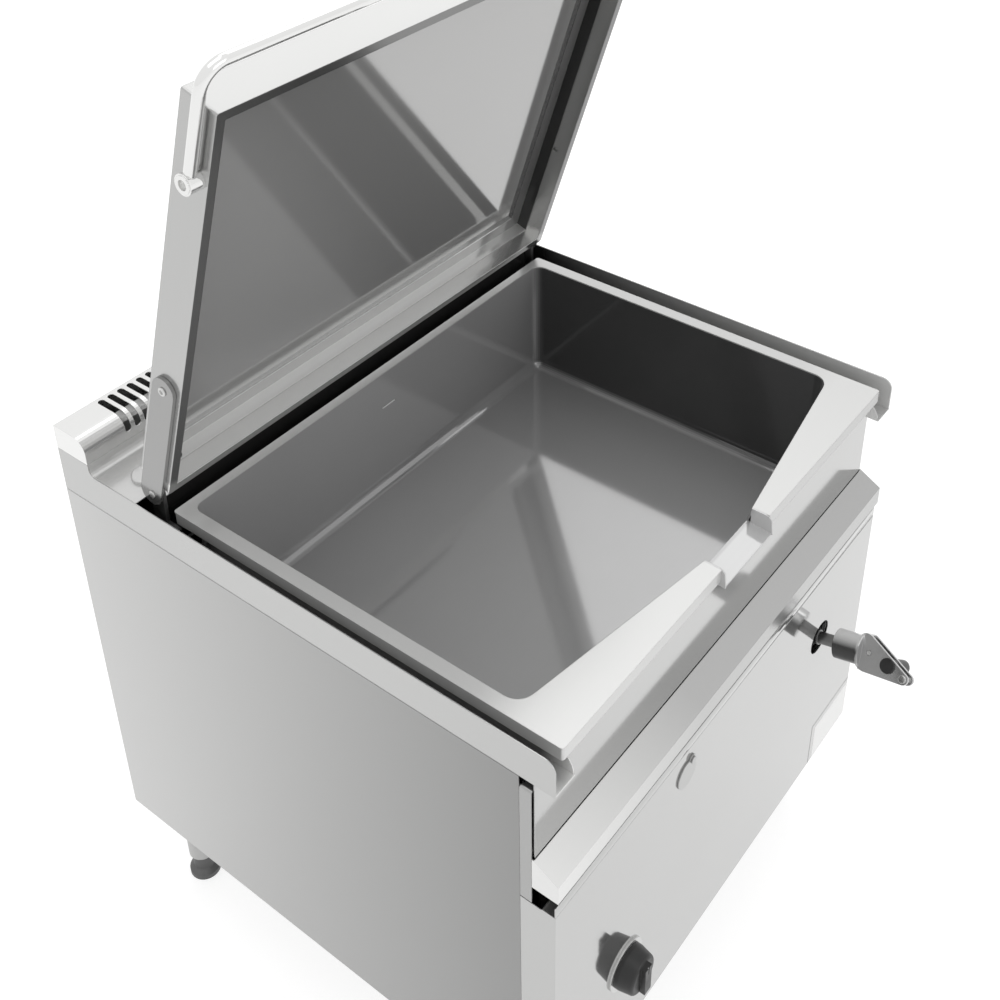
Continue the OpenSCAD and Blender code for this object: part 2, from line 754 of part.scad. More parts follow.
// Pair of slotted levers on the axle, pushed by the nut
module tilt_lever() {
    r0 = norm([nut_y - axle_y, nut_z - axle_z]);
    angle = atan2(nut_z - axle_z, nut_y - axle_y);
    slot_r = trunnion_r + 0.6;
    color(dark_steel) at_mid()
        for (s = [-1, 1])
            x_slab(spindle_x + s * (ear_x + 3.5) - 2.5, spindle_x + s * (ear_x + 3.5) + 2.5)
                translate([axle_y, axle_z]) rotate(angle) difference() {
                    union() {
                        circle(14);
                        polygon([[0, -14], [0, 14], [r0 - 14, 16], [r0, 17], [r0 + slot_travel, 17],
                            [r0 + slot_travel, -17], [r0, -17], [r0 - 14, -16]]);
                        translate([r0 + slot_travel, 0]) circle(17);
                    }
                    circle(axle_r + fixed_fit);
                    translate([r0, -slot_r]) square([slot_travel, 2 * slot_r]);
                    translate([r0, 0]) circle(slot_r);
                    translate([r0 + slot_travel, 0]) circle(slot_r);
                }
}

// Bracket on the pan's rear wall that carries the lid's pivot, its stem in the deck's notch
module lid_bracket(s) {
    y0 = y_pan + pan_wall;
    z0 = work_h - 105;
    z1 = z_rim - lip_h - 5;
    r = 11;
    color(dark_steel) at_mid() on_side(s) difference() {
        union() {
            x_slab(hinge_x, hinge_x + bracket_t) {
                polygon([[y0, z0], [y0, z1], [lid_py - r, z1], [lid_py - r, lid_pz], [lid_py + r, lid_pz],
                    [lid_py + r, z0]]);
                translate([lid_py, lid_pz]) circle(r);
            }
            box([x_pan - 57, y0, z0], [hinge_x, y0 + 5, z0 + 55]);
        }
        x_rod(hinge_x - 1, hinge_x + bracket_t + 1, pin_r + run_fit, lid_py, lid_pz);
    }
}
module lid_bracket_left() { lid_bracket(-1); }
module lid_bracket_right() { lid_bracket(1); }

// Lid

// Outer skin with walls and a hem folded in along their lower edge
module lid_outer() {
    hem = 12;
    color(steel) at_mid() lid_turn() difference() {
        z_slab(z_lid, z_lid + lid_h) round_rect([-x_lid, lid_front], [x_lid, y_lid], 3);
        box([-x_lid + sheet, lid_front + sheet, z_lid + sheet],
            [x_lid - sheet, y_lid - sheet, z_lid + lid_h - sheet]);
        box([-x_lid + hem, lid_front + hem, z_lid - 1], [x_lid - hem, y_lid - hem, z_lid + 10]);
        y_rod(y_lid - hem, y_lid + 1, drain_r, drain_x, drain_z);
        x_rod(-x_lid - 1, x_lid + 1, pin_r + fixed_fit, bolt_y, bolt_z);
    }
}

// Inner skin: a raised panel inside a flat border, with a flange on the walls
module lid_inner() {
    x = x_lid - sheet - seam;
    y0 = lid_front + sheet + seam;
    y1 = y_lid - sheet - seam;
    z1 = z_lid + lid_h - sheet - seam;
    rise = 7;
    color(steel) at_mid() lid_turn() {
        difference() {
            box([-x, y0, z_lid + 30], [x, y1, z1]);
            box([-x + skin, y0 + skin, z_lid + 29], [x - skin, y1 - skin, z1 - skin]);
            y_rod(y1 - 5, y1 + 1, drain_r, drain_x, drain_z);
            hull() {
                box([-x + 24, y0 + 24, z1 - skin - 1], [x - 24, y1 - 24, z1 + 1]);
                box([-x + 52, y0 + 52, z1 - rise - 1], [x - 52, y1 - 52, z1 - rise]);
            }
        }
        difference() {
            hull() {
                box([-x + 23, y0 + 23, z1 - 0.2], [x - 23, y1 - 23, z1]);
                box([-x + 51, y0 + 51, z1 - rise - skin], [x - 51, y1 - 51, z1 - rise]);
            }
            hull() {
                box([-x + 26, y0 + 26, z1], [x - 26, y1 - 26, z1 + 1]);
                box([-x + 53, y0 + 53, z1 - rise], [x - 53, y1 - 53, z1 + 1]);
            }
        }
    }
}

// U shaped tube handle across the front of the lid
module lid_handle() {
    x = x_lid + 10;
    y1 = lid_front - 48;
    z = z_lid + handle_up;
    bend = 28;
    color(bright) at_mid() lid_turn() {
        both_sides() {
            y_rod(y1 + bend, handle_y, tube_r, x, z);
            translate([x - bend, y1 + bend, z]) rotate([0, 0, -90])
                rotate_extrude(angle = 90) translate([bend, 0]) circle(tube_r);
        }
        x_rod(-x + bend, x - bend, tube_r, y1, z);
    }
}

// Round bosses that fix the handle's ends to the lid's walls
module handle_bosses() {
    y = handle_y + 6;
    z = z_lid + handle_up;
    color(bright) at_mid() lid_turn() both_sides() difference() {
        union() {
            x_rod(x_lid, x_lid + 18, 12.5, y, z);
            x_rod(x_lid + 18, x_lid + 19, 10.5, y, z);
        }
        x_rod(x_lid + 14, x_lid + 20, 6, y, z);
        y_rod(y - 20, handle_y, tube_r, x_lid + 10, z);
    }
}

// Flat arm with round ends along the lid's wall
module hinge_arm(s) {
    r = arm_w / 2;
    color(bright) at_mid() lid_turn() on_side(s) difference() {
        x_slab(arm_x, arm_x + arm_t) {
            translate([bolt_y, bolt_z - r]) square([arm_pitch, arm_w]);
            translate([bolt_y, bolt_z]) circle(r);
            translate([lid_py, bolt_z]) circle(r);
        }
        x_rod(arm_x - 1, arm_x + arm_t + 1, pin_r + fixed_fit, lid_py, lid_pz);
        x_rod(arm_x - 1, arm_x + arm_t + 1, pin_r + fixed_fit, bolt_y, bolt_z);
    }
}
module hinge_arm_left() { hinge_arm(-1); }
module hinge_arm_right() { hinge_arm(1); }

// Bolts that hold the arms to the lid, one on each side
module arm_bolts() {
    color(bright) at_mid() lid_turn() both_sides() {
        x_rod(x_lid - 4, arm_x + arm_t, pin_r, bolt_y, bolt_z);
        x_rod(arm_x + arm_t, arm_x + arm_t + 2, pin_r + 2, bolt_y, bolt_z);
    }
}

// Pins fixed in the arms, which turn in the brackets
module hinge_pins() {
    head_r = pin_r + 1.2;
    color(bright) at_mid() lid_turn() both_sides() {
        x_rod(hinge_x - 1.8, arm_x + arm_t, pin_r, lid_py, lid_pz);
        x_rod(hinge_x - 1.8, hinge_x - 0.4, head_r, lid_py, lid_pz);
        x_rod(arm_x + arm_t, arm_x + arm_t + 1.5, head_r, lid_py, lid_pz);
    }
}

// Tilting spindle and its crank

module spindle_yoke() {
    color(dark_steel) at_mid() at_spindle() difference() {
        union() {
            translate([-14, 0, 0]) rotate([0, 90, 0]) cylinder(r = 13, h = 28);
            translate([-23, 0, 0]) rotate([0, 90, 0]) cylinder(r = 6, h = 46);
        }
        translate([0, 0, -20]) cylinder(r = spindle_r + run_fit, h = 40);
    }
}

module spindle() {
    color(steel) at_mid() at_spindle() {
        translate([0, 0, -spindle_l]) cylinder(r = spindle_r, h = spindle_l + hub_z);
        for (z = [-17, 13.5])
            translate([0, 0, z]) cylinder(r = spindle_r + 2, h = 3);
    }
}

// Outline of the fork's cheeks as [y, z], tapering to the tip
module fork_outline() {
    z0 = hub_z + collar_l;
    polygon([[-25, z0], [25, z0], [26, z0 + 5], [24.8, z0 + 11],
        fork_tip + tip_r * [0.83, 0.557], fork_tip + tip_r * [-0.998, 0.05], [-27, z0 + 8]]);
    translate(fork_tip) circle(tip_r);
}

// Collar with two cheeks that hold the sliding bar
module crank_head() {
    z0 = hub_z + collar_l;
    color(bright) at_mid() at_crank() difference() {
        union() {
            translate([0, 0, hub_z]) cylinder(r = collar_r, h = collar_l - 3);
            translate([0, 0, z0 - 3]) cylinder(r = 25, h = 4);
            x_slab(-cheek_x, cheek_x) fork_outline();
        }
        translate([-7, -50, z0 + 10]) cube([14, 100, fork_l + 20]);
        x_rod(-20, 20, bar_r + run_fit, bar_at[0], bar_at[1]);
        x_rod(-20, 20, pin_r + fixed_fit, fork_tip[0], fork_tip[1]);
        x_rod(-cheek_x - 1, -cheek_x + 2, 4, 0.3, z0 + 12.2);
    }
}

module crank_pin() {
    color(bright) at_mid() at_crank() {
        x_rod(-cheek_x, cheek_x, pin_r, fork_tip[0], fork_tip[1]);
        for (x = [-cheek_x - 2, cheek_x])
            x_rod(x, x + 2, 5.5, fork_tip[0], fork_tip[1]);
    }
}

module crank_bar() {
    color("black") at_mid() at_crank()
        x_rod(-cheek_x - 3, bar_l - cheek_x - 3, bar_r, bar_at[0], bar_at[1]);
}

// Nut on the spindle, its two trunnions in the levers' slots
module tilt_nut() {
    color("darkgoldenrod") at_mid() at_spindle() translate([0, 0, -nut_s]) difference() {
        union() {
            translate([-ear_x + 1, 0, 0]) rotate([0, 90, 0]) cylinder(r = 22, h = 2 * ear_x - 2);
            translate([-ear_x - 6, 0, 0]) rotate([0, 90, 0]) cylinder(r = trunnion_r, h = 2 * ear_x + 12);
        }
        translate([0, 0, -30]) cylinder(r = spindle_r + run_fit, h = 60);
    }
}

base_tray();
side_panel_left();
side_panel_right();
rear_panel();
front_panel();
corner_plate();
hood();
trim_left();
trim_right();
rail_left();
rail_right();
gutter_left();
gutter_right();
deck();
flue_cover();
flue_baffle();
flue_duct();
deck_cap();
burner_frame();
burner_tubes();
gas_pipes();
gas_valve();
bearing_left();
bearing_right();
spindle_bracket();
foot_sleeves();
foot_pads();
cover_screw();
peephole_cover();
knob_bezel();
gas_knob();
pan_shell();
pan_rim();
base_plate();
tilt_axle();
tilt_bracket_left();
tilt_bracket_right();
apron();
apron_top();
tilt_lever();
lid_bracket_left();
lid_bracket_right();
lid_outer();
lid_inner();
lid_handle();
handle_bosses();
hinge_arm_left();
hinge_arm_right();
arm_bolts();
hinge_pins();
spindle_yoke();
spindle();
crank_head();
crank_pin();
crank_bar();
tilt_nut();
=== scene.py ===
import math

import bmesh
import bpy
from mathutils import Matrix, Vector


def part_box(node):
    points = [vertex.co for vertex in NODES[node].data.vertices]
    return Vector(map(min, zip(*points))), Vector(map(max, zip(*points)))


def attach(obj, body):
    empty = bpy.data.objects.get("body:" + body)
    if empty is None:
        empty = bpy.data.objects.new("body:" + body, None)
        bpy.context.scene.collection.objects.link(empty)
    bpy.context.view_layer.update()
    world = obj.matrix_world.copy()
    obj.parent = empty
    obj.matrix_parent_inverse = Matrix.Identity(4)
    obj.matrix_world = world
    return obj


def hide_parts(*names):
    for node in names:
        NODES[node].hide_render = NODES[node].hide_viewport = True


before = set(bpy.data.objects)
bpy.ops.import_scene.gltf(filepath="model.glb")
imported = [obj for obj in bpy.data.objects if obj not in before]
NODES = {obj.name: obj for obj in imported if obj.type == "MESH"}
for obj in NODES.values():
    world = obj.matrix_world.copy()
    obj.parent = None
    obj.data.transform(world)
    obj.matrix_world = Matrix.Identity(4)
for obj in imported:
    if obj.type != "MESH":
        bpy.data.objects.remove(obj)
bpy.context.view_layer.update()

MM = 0.001

# The frame has its origin under the middle of the bounding box. The cabinet's middle lies behind it.
HALF_DEPTH = 400
Y0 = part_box("side_panel_left")[1].y - HALF_DEPTH * MM


def at(x, y, z):
    """A point in millimetres from the cabinet's middle, in the frame in metres."""
    return Vector((x * MM, y * MM + Y0, z * MM))


# Camera: lengths in mm from the cabinet's middle, angles in degrees, image points in pixels

IMAGE = 1000
FOCAL_PX = 1383.6
CENTRE_PX = (541.8, 219.5)
SENSOR = 36.0
CLIP_END = 100
CAMERA_AT = (-1150.6, -937.4, 2008.8)
CAMERA_TURN = (90 - 29.822, 0, -53.301)


def make_camera():
    data = bpy.data.cameras.new("camera")
    data.sensor_width = SENSOR
    data.lens = SENSOR * FOCAL_PX / IMAGE
    data.shift_x = (IMAGE / 2 - CENTRE_PX[0]) / IMAGE
    data.shift_y = -(IMAGE / 2 - CENTRE_PX[1]) / IMAGE
    data.clip_end = CLIP_END
    camera = bpy.data.objects.new("camera", data)
    camera.location = at(*CAMERA_AT)
    camera.rotation_euler = [math.radians(a) for a in CAMERA_TURN]
    bpy.context.scene.collection.objects.link(camera)
    bpy.context.scene.camera = camera


# Materials

FOLD_RADIUS = 0.0012
FOLD_SAMPLES = 4
GRAIN = {"x": (0.5, 220, 220), "y": (220, 0.5, 220), "z": (220, 220, 0.5)}
GRAIN_SCALE = 8.0
GRAIN_RELIEF = 0.0004
MOTTLE_RELIEF = 0.0008
SKIN_SCALE = 900.0
METALLIC = 0.85
WARM_WHITE = (1.0, 1.0, 0.99)
# The sockets of a Mix node, by its data type: first input, second input, output.
MIX_SOCKETS = {"RGBA": (6, 7, 2), "FLOAT": (2, 3, 0)}

CRANK_RISE = math.radians(13)
SPINDLE_PIVOT = (253.5, -381.0, 472.0)
COLLAR_RADIUS = 22.0
COLLAR_END = -462.0
COLLAR_EDGE = 2
# Painted reflection on the collar: the shade at each height across it, bright on top and dark below
COLLAR_REFLECTION_BANDS = ((0.0, 0.45), (0.16, 0.40), (0.28, 0.10), (0.80, 0.08), (0.92, 0.55), (1.0, 0.85))
SPOUT_START = -361


def new_material(name):
    material = bpy.data.materials.new(name)
    material.use_nodes = True
    tree = material.node_tree
    return material, tree, tree.nodes["Principled BSDF"]


def grey(value):
    return (value, value, value)


def scaled(colour, factor):
    return tuple(min(1, c * factor) for c in colour)


def texture_coords(tree, kind):
    return tree.nodes.new("ShaderNodeTexCoord").outputs[kind]


def noise(tree, coords, scale, detail=3.0, stretch=(1, 1, 1)):
    """Noise in object coordinates, stretched along an axis by a mapping."""
    mapping = tree.nodes.new("ShaderNodeMapping")
    mapping.inputs["Scale"].default_value = stretch
    tree.links.new(coords, mapping.inputs["Vector"])
    node = tree.nodes.new("ShaderNodeTexNoise")
    node.inputs["Scale"].default_value = scale
    node.inputs["Detail"].default_value = detail
    tree.links.new(mapping.outputs["Vector"], node.inputs["Vector"])
    return node.outputs["Fac"]


def grain_lines(tree, coords, axis):
    """The fine lines of brushed metal along an axis."""
    return noise(tree, coords, GRAIN_SCALE, detail=4.0, stretch=GRAIN[axis])


def bands(tree, value, stops):
    """Colours in bands, from (position, colour) stops."""
    node = tree.nodes.new("ShaderNodeValToRGB")
    elements = node.color_ramp.elements
    for element, (position, colour) in zip(elements, (stops[0], stops[-1])):
        element.position, element.color = position, (*colour, 1)
    for position, colour in stops[1:-1]:
        elements.new(position).color = (*colour, 1)
    tree.links.new(value, node.inputs["Fac"])
    return node.outputs["Color"]


def ramp(tree, value, low, high, start=0.3, end=0.7):
    """A colour between low and high, as the value goes from start to end."""
    return bands(tree, value, ((start, low), (end, high)))


def varied(tree, value, colour, share):
    """A colour that the value makes darker or lighter by a share."""
    return ramp(tree, value, scaled(colour, 1 - share), scaled(colour, 1 + share))


def mixed(tree, factor, first, second, kind="RGBA", blend="MIX"):
    """The first or the second input, or a mix of them, by a factor that is a number or a socket."""
    node = tree.nodes.new("ShaderNodeMix")
    node.data_type = kind
    node.blend_type = blend
    first_in, second_in, result = MIX_SOCKETS[kind]
    if isinstance(factor, (int, float)):
        node.inputs[0].default_value = factor
    else:
        tree.links.new(factor, node.inputs[0])
    tree.links.new(first, node.inputs[first_in])
    tree.links.new(second, node.inputs[second_in])
    return node.outputs[result]


def faded(tree, colour, factor):
    """A colour multiplied by a number from another node."""
    return mixed(tree, 1.0, colour, factor, blend="MULTIPLY")


def rescaled(tree, value, start, end, low=0, high=1):
    """A number that goes from low to high as the value goes from start to end."""
    node = tree.nodes.new("ShaderNodeMapRange")
    node.inputs["From Min"].default_value = start
    node.inputs["From Max"].default_value = end
    node.inputs["To Min"].default_value = low
    node.inputs["To Max"].default_value = high
    tree.links.new(value, node.inputs["Value"])
    return node.outputs[0]


def coordinate(tree, coords, axis, start, end, low=0, high=1):
    """A number that goes from low to high as a coordinate goes from start to end."""
    split = tree.nodes.new("ShaderNodeSeparateXYZ")
    tree.links.new(coords, split.inputs[0])
    return rescaled(tree, split.outputs[axis], start, end, low, high)


def along_y(start, end, low, high):
    """The settings of a fade from front to rear, with start and end in millimetres."""
    return ("Y", at(0, start, 0).y, at(0, end, 0).y, low, high)


def inner_right(tree, coords):
    """1 on the faces of the right half that look to the left, which get little light, otherwise 0."""
    node = tree.nodes.new("ShaderNodeMath")
    node.operation = "MULTIPLY"
    looks_left = coordinate(tree, texture_coords(tree, "Normal"), "X", -0.3, -0.9)
    tree.links.new(looks_left, node.inputs[0])
    tree.links.new(coordinate(tree, coords, "X", 0.0, 0.1), node.inputs[1])
    return node.outputs[0]


def add_bump(tree, shader, height, strength, distance=GRAIN_RELIEF):
    """Grain as a bump, over edges that are rounded as bent sheet metal is."""
    fold = tree.nodes.new("ShaderNodeBevel")
    fold.samples = FOLD_SAMPLES
    fold.inputs["Radius"].default_value = FOLD_RADIUS
    bump = tree.nodes.new("ShaderNodeBump")
    tree.links.new(fold.outputs["Normal"], bump.inputs["Normal"])
    bump.inputs["Strength"].default_value = strength
    bump.inputs["Distance"].default_value = distance
    tree.links.new(height, bump.inputs["Height"])
    tree.links.new(bump.outputs["Normal"], shader.inputs["Normal"])


def uneven_gloss(tree, shader, rough, lines, lines_spread, smears, smears_spread):
    """A roughness that lines and smears each vary by their spread."""
    gloss = mixed(tree, 0.5, ramp(tree, lines, grey(rough - lines_spread), grey(rough + lines_spread)),
                  ramp(tree, smears, grey(rough - smears_spread), grey(rough + smears_spread)), "FLOAT")
    tree.links.new(gloss, shader.inputs["Roughness"])


def steel(name, shade, rough, grain="x", depth=0.005, spread=0.02, metal=METALLIC, fades=(), faces=(),
          wall=None):
    """Satin stainless steel: fine grain along one axis, with faint smears in its colour and gloss.

    A fade paints light or shade along a coordinate: axis, start, end, and the factors at both. Faces are
    such fades by the surface's direction, and wall is a fade of painted shade on the faces that inner_right
    finds.
    """
    material, tree, shader = new_material(name)
    coords = texture_coords(tree, "Object")
    lines = grain_lines(tree, coords, grain)
    smears = noise(tree, coords, scale=6.0)
    colour = scaled(WARM_WHITE, shade)
    colour = mixed(tree, 0.5, varied(tree, smears, colour, 0.015), varied(tree, lines, colour, 0.01))
    # Painted light and shade: the fades, faces and wall below
    for fade in fades:
        colour = faded(tree, colour, coordinate(tree, coords, *fade))
    for face in faces:
        colour = faded(tree, colour, coordinate(tree, texture_coords(tree, "Normal"), *face))
    if wall:
        shaded = faded(tree, colour, coordinate(tree, coords, *wall))
        colour = mixed(tree, inner_right(tree, coords), colour, shaded)
    tree.links.new(colour, shader.inputs["Base Color"])
    uneven_gloss(tree, shader, rough, lines, spread, smears, spread)
    add_bump(tree, shader, lines, depth)
    shader.inputs["Metallic"].default_value = metal
    return material


def pan_steel(name, inside, wall, spout, rough, metal):
    """Painted shade on satin steel: dark inside the pan, darkest on its right wall, lighter to the front
    and on the spout.
    """
    material, tree, shader = new_material(name)
    coords = texture_coords(tree, "Object")
    lines = grain_lines(tree, coords, "x")
    smears = noise(tree, coords, scale=4.0, detail=4.0)
    plain = mixed(tree, 0.5, varied(tree, smears, grey(inside), 0.05),
                  varied(tree, lines, grey(inside), 0.02))
    # Painted light: the inside lighter towards the front
    lit = faded(tree, plain, coordinate(tree, coords, *along_y(200, -360, 0.85, 1.25)))
    # Painted shade: the right wall near black
    dark = mixed(tree, inner_right(tree, coords), lit, varied(tree, smears, grey(wall), 0.1))
    behind_spout = coordinate(tree, coords, *along_y(SPOUT_START - 2, SPOUT_START, 0, 1))
    colour = mixed(tree, behind_spout, varied(tree, lines, grey(spout), 0.02), dark)
    tree.links.new(colour, shader.inputs["Base Color"])
    uneven_gloss(tree, shader, rough, lines, 0.02, smears, 0.03)
    add_bump(tree, shader, lines, 0.004)
    shader.inputs["Metallic"].default_value = metal
    return material


def crank_steel(name, shade, rough):
    """Turned steel: a collar with a painted reflection in bands, bright on top and dark below, and in front
    of it the plain fork.
    """
    material, tree, shader = new_material(name)
    coords = texture_coords(tree, "Object")
    lines = grain_lines(tree, coords, "y")
    smears = noise(tree, coords, scale=30.0)
    plain = mixed(tree, 0.5, varied(tree, lines, grey(shade), 0.03),
                  varied(tree, smears, grey(shade), 0.06))
    upward = (0, math.tan(CRANK_RISE), 1)
    across = tree.nodes.new("ShaderNodeVectorMath")
    across.operation = "DOT_PRODUCT"
    across.inputs[1].default_value = upward
    tree.links.new(coords, across.inputs[0])
    axis = at(*SPINDLE_PIVOT).dot(upward)
    height = rescaled(tree, across.outputs["Value"], axis - COLLAR_RADIUS * MM, axis + COLLAR_RADIUS * MM)
    # Painted reflection: bands across the collar, bright on top and dark below
    turned = bands(tree, height, [(position, grey(value)) for position, value in COLLAR_REFLECTION_BANDS])
    behind = coordinate(tree, coords, *along_y(COLLAR_END, COLLAR_END + COLLAR_EDGE, 0, 1))
    tree.links.new(mixed(tree, behind, plain, turned), shader.inputs["Base Color"])
    tree.links.new(ramp(tree, lines, grey(rough - 0.02), grey(rough + 0.02)), shader.inputs["Roughness"])
    add_bump(tree, shader, lines, 0.005)
    shader.inputs["Metallic"].default_value = METALLIC
    return material


def plastic(name, colour, rough):
    """Moulded plastic with a fine leathery skin."""
    material, tree, shader = new_material(name)
    coords = texture_coords(tree, "Object")
    worn = noise(tree, coords, scale=40.0)
    tree.links.new(ramp(tree, worn, colour, scaled(colour, 1.7), 0.4, 0.8), shader.inputs["Base Color"])
    tree.links.new(ramp(tree, worn, grey(rough - 0.08), grey(rough + 0.1)), shader.inputs["Roughness"])
    add_bump(tree, shader, noise(tree, coords, SKIN_SCALE, detail=2.0), 0.25)
    return material


def dull_metal(name, colour, rough, scale=55.0, depth=0.3, metal=1.0):
    """Cast, painted or heat-stained metal: mottled and dull."""
    material, tree, shader = new_material(name)
    mottle = noise(tree, texture_coords(tree, "Object"), scale, detail=6.0)
    tree.links.new(ramp(tree, mottle, scaled(colour, 0.7), colour), shader.inputs["Base Color"])
    tree.links.new(ramp(tree, mottle, grey(rough - 0.1), grey(rough + 0.12)), shader.inputs["Roughness"])
    add_bump(tree, shader, mottle, depth, MOTTLE_RELIEF)
    shader.inputs["Metallic"].default_value = metal
    return material


PANEL = steel("front_steel", 0.50, 0.08, spread=0.015)
BRIGHT = steel("bright_steel", 0.60, 0.20, "z")
DARK = dull_metal("dark_steel", grey(0.16), 0.5)
# Painted shade: the spindle's bracket and yoke near black, so that the hole round the spindle looks dark
SPINDLE_HOLE_SHADE = dull_metal("spindle_hole_shade", grey(0.01), 0.8, metal=0.0)
BLACK = plastic("black_plastic", grey(0.012), 0.38)
WHITE = plastic("white_mark", grey(0.8), 0.5)

# Fades along a coordinate, each of them painted light or shade
# Painted shade: the side panels darker towards the front
SIDE_FADE = along_y(400, -400, 1.04, 0.52)
# Painted shade and reflection: the right rail's inner face near black at the rear, light at the front
RAIL_FADE = along_y(220, -400, 0.03, 1.5)
# Painted shade in the left gutter, with painted light at its open front end
END_FADE = along_y(-350, -395, 0.4, 1.8)
# Painted light: the hood lighter on its left, a little darker on its right
HOOD_FADES = [("X", -0.4, -0.1, 1.6, 1.0), ("X", -0.1, 0.4, 1.0, 0.95)]
# Painted light: the pan's rim lighter towards the front and on its left, darker on its right
RIM_FADES = [along_y(-270, -330, 1.06, 1.2), ("X", -0.4, 0.4, 1.1, 0.82)]
# Painted shade: the deck nearly black in front of 231.8 mm, by the lid's hinge
DECK_EDGE = along_y(231.8, 232.8, 0.06, 1.0)
# Painted light: the lid's outer skin lighter below a height of 890 mm
LID_FOOT = ("Z", 0.890, 0.897, 1.8, 1.0)
# Painted shade: the right wall of the lid's inner skin at 0.12 of its shade
LID_WALL = ("Y", 0.0, 1.0, 0.12, 0.12)
# Fades by the surface's direction, each of them painted light or shade
# Painted shade: the flue cover's faces that look to the front darker
FLUE_FRONT = ("Y", -0.5, -0.9, 1.0, 0.78)
# Painted shade on the outer skin's faces that look to the front, such as the hem
HEM_SHADE = ("Y", -0.6, -0.85, 1.0, 0.42)
# Painted light: faces that look up lighter
LID_SHELF = ("Z", 0.5, 0.85, 1.0, 1.9)

LOOKS = (
    (steel("side_steel", 0.54, 0.34, "z", fades=[SIDE_FADE]), ["side_panel_left", "side_panel_right"]),
    (steel("rear_steel", 0.54, 0.34, "z"), ["rear_panel"]),
    (PANEL, ["front_panel"]),
    (steel("cover_steel", 0.44, 0.12), ["peephole_cover", "cover_screw"]),
    (steel("corner_steel", 0.80, 0.30, metal=0.5), ["corner_plate"]),
    (steel("hood_steel", 0.47, 0.20, fades=HOOD_FADES), ["hood"]),
    (steel("apron_steel", 0.505, 0.10, spread=0.015), ["apron", "apron_top"]),
    (steel("deck_steel", 0.62, 0.20, metal=0.6, fades=[DECK_EDGE]), ["deck", "deck_cap"]),
    # Painted shade on the flue cover's front faces
    (steel("flue_steel", 0.82, 0.16, metal=0.8, faces=[FLUE_FRONT]), ["flue_cover"]),
    (steel("rim_steel", 0.51, 0.24, metal=0.4, fades=RIM_FADES), ["pan_rim"]),
    (steel("rail_steel", 0.52, 0.26, "y"), ["rail_left"]),
    # Painted shade and reflection on the right rail's inner face
    (steel("rail_steel_right", 0.52, 0.24, "y", metal=0.4, wall=RAIL_FADE), ["rail_right", "gutter_right"]),
    (steel("gutter_steel", 0.44, 0.24, "y", metal=0.5, fades=[END_FADE]), ["gutter_left"]),
    # Painted shade in the pan: the inside and its right wall darker than the spout
    (pan_steel("pan_steel", inside=0.38, wall=0.06, spout=0.56, rough=0.08, metal=0.36), ["pan_shell"]),
    # Painted light low on the outer skin and painted shade on its faces that look to the front
    (steel("lid_steel", 0.48, 0.20, fades=[LID_FOOT], faces=[HEM_SHADE]), ["lid_outer"]),
    # Painted light on faces that look up and painted shade on the right wall
    (steel("lid_inner_steel", 0.44, 0.07, spread=0.015, metal=0.6, faces=[LID_SHELF], wall=LID_WALL),
     ["lid_inner"]),
    (steel("trim_steel", 0.40, 0.24, "z"), ["trim_left", "trim_right"]),
    (BRIGHT, ["arm_bolts", "hinge_pins", "tilt_axle", "knob_bezel"]),
    (steel("arm_steel", 0.335, 0.16, "z"), ["hinge_arm_left", "hinge_arm_right"]),
    (crank_steel("crank_steel", 0.44, 0.14), ["crank_head"]),
    (steel("spindle_steel", 0.22, 0.30, "y"), ["spindle"]),
    (steel("chrome", 0.78, 0.07, depth=0.006), ["lid_handle", "handle_bosses", "crank_pin"]),
    (steel("frame_steel", 0.46, 0.40, "z"),
     ["base_tray", "tilt_bracket_left", "tilt_bracket_right", "foot_sleeves", "flue_baffle"]),
    (DARK, ["burner_frame", "burner_tubes", "flue_duct", "bearing_left", "bearing_right", "tilt_lever",
            "base_plate", "foot_pads", "lid_bracket_left", "lid_bracket_right"]),
    # Painted shade in the spindle's hole
    (SPINDLE_HOLE_SHADE, ["spindle_bracket", "spindle_yoke"]),
    (dull_metal("brass", (0.62, 0.44, 0.16), 0.32, scale=30.0, depth=0.1), ["gas_valve", "tilt_nut"]),
    (dull_metal("pipe_metal", (0.58, 0.46, 0.26), 0.35, scale=30.0, depth=0.1), ["gas_pipes"]),
    (BLACK, ["crank_bar", "gas_knob"]),
)


def dress_nodes():
    for material, names in LOOKS:
        for name in names:
            data = NODES[name].data
            data.materials.clear()
            data.materials.append(material)


# Small fasteners, marks and trim

CRANK_TURN = math.radians(-40)
LID_PIVOT = (231.5, 866.0)
LID_OPEN = math.radians(72)
SHARP_FROM = math.radians(35)
UP = (0, 0, 1)

# Places on the crank's fork, on the closed lid, and from the cabinet's middle, in millimetres
HUB_SCREW_AT = (-10, 0.3, 98.2)
DRAIN_PLUG_AT = (-333.6, 212.5, 882.5)
ARM_SCREW_AT = (385.3, 41.5, 869.5)
LEVEL_MARK_AT = (0, 196, 785)
KNOB_FACE_AT = (-250, -430.7, 330)

# Radius and height of each ring of the drain plug, in millimetres
DRAIN_PLUG = [(4.0, -3), (4.0, 0), (5.4, 0.1), (5.4, 1.0), (4.6, 1.6), (3.4, 1.6), (3.0, 0.6)]

# Lowest and highest corner and bevel of each box, in millimetres
PANEL_LIP = ((-399.9, -396.35, 603.05), (399.9, -394.9, 619.0), 0.3)
# Black strips in the seam round the corner plate: painted shadow of the gap
SEAM_TOP = ((275.2, -396.5, 261.6), (399.9, -395.5, 262.8), 0.1)
SEAM_SIDE = ((275.2, -396.5, 180.2), (276.4, -395.5, 261.7), 0.1)
LEVEL_MARK = ((-12.8, 0.05, -0.8), (12.8, 0.5, 0.8), 0.15)
KNOB_POINTER = ((-0.9, -0.9, 12.3), (0.9, 0.1, 23.6), 0.2)


